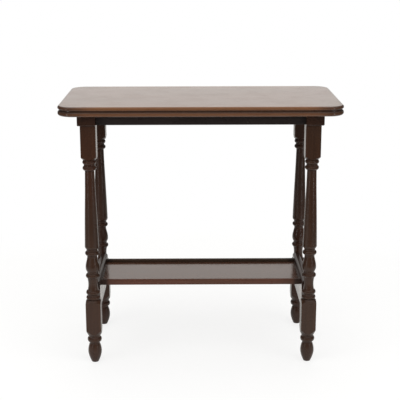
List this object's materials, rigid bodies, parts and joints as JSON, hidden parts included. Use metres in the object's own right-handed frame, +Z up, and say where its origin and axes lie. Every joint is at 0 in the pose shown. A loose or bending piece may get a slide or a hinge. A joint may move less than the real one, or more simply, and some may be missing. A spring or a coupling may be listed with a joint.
{
  "type": "two-tier side table",
  "caption": "Long side table in dark polished hardwood: rounded top with a beaded edge, turned legs and a narrow lower shelf between end stretchers.",
  "frame": {"origin": "on the floor under the middle of the top", "axes": "+X along the length of the table, -Y towards its front, +Z up"},
  "size_m": [0.7, 0.36, 0.677],
  "materials": {
    "polished_hardwood": "polished",
    "dowel_wood": "bare",
    "screw_steel": "plain"
  },
  "bodies": {
    "root": {"table_top": "polished_hardwood", "left_bearer": "polished_hardwood", "right_bearer": "polished_hardwood", "front_rail": "polished_hardwood", "rear_rail": "polished_hardwood", "front_left_leg": "polished_hardwood", "front_right_leg": "polished_hardwood", "rear_left_leg": "polished_hardwood", "rear_right_leg": "polished_hardwood", "left_end_stretcher": "polished_hardwood", "right_end_stretcher": "polished_hardwood", "shelf_panel": "polished_hardwood", "shelf_front_lip": "polished_hardwood", "shelf_rear_lip": "polished_hardwood", "front_left_corner_block": "polished_hardwood", "front_right_corner_block": "polished_hardwood", "rear_left_corner_block": "polished_hardwood", "rear_right_corner_block": "polished_hardwood", "rail_dowels": "dowel_wood", "stretcher_dowels": "dowel_wood", "lip_dowels": "dowel_wood", "bearer_screws": "screw_steel", "corner_block_screws": "screw_steel"}
  },
  "joints": []
}
